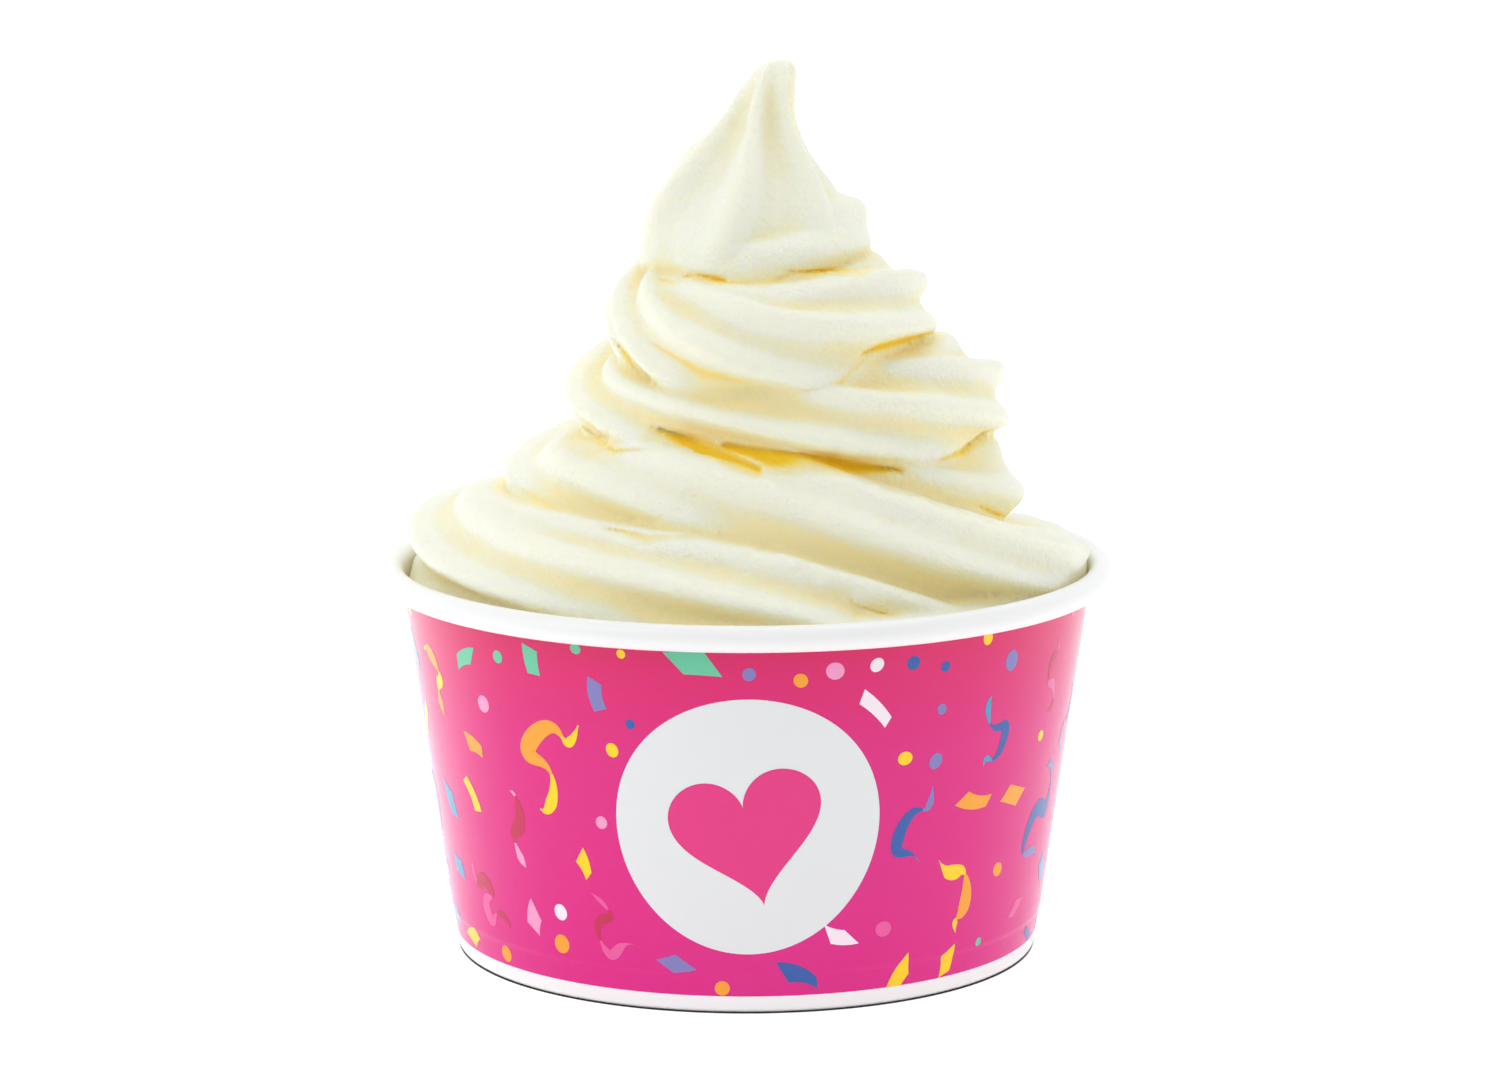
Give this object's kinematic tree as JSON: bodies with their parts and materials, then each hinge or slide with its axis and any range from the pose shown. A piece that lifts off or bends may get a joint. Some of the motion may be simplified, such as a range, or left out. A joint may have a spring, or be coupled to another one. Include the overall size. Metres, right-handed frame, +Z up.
{
  "type": "frozen yogurt cup",
  "caption": "Tall piped swirl of cream frozen yogurt in a short round paper cup with a rolled rim.",
  "frame": {"origin": "centre of the circle that the cup stands on", "axes": "+Z up; +X to the cup's right-hand side, towards which the tip leans; -Y to its printed front"},
  "size_m": [0.114, 0.114, 0.139],
  "materials": {
    "printed_board": "gloss",
    "plain_board": "satin",
    "yogurt": "satin"
  },
  "bodies": {
    "root": {"cup": "printed_board", "cup_base": "plain_board", "frozen_yogurt": "yogurt"}
  },
  "joints": []
}
